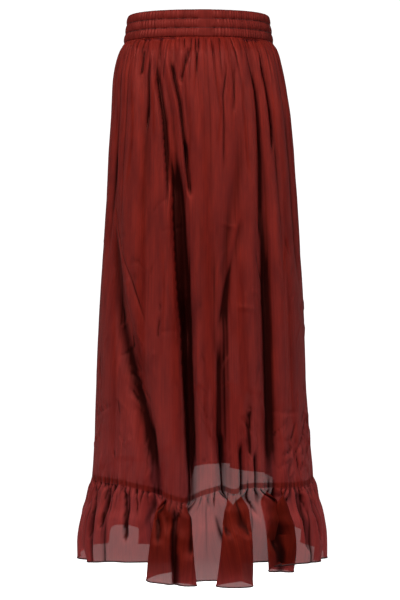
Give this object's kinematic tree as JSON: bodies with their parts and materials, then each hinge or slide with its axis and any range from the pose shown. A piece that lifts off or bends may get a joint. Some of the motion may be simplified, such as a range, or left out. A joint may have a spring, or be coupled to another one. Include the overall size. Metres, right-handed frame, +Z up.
{
  "type": "maxi skirt",
  "caption": "Long hollow skirt held open as worn: shirred elastic waistband, gathered two-panel body, hem raised at the front and edged with a gathered ruffle.",
  "frame": {"origin": "centre of the waist opening, at the middle of the waistband's height, where the wearer holds the skirt up", "axes": "+Z up towards the waist, -Y towards the back of the skirt, +Y towards its raised front hem, +X towards the wearer's right side"},
  "size_m": [0.4362, 0.3862, 0.9699],
  "materials": {
    "waistband": "shirred silk over elastic",
    "silk": "sheer plain-weave silk with a soft sheen"
  },
  "bodies": {
    "root": {"waistband": "waistband", "back_panel": "silk", "front_panel": "silk", "back_ruffle": "silk", "front_ruffle": "silk"}
  },
  "joints": []
}
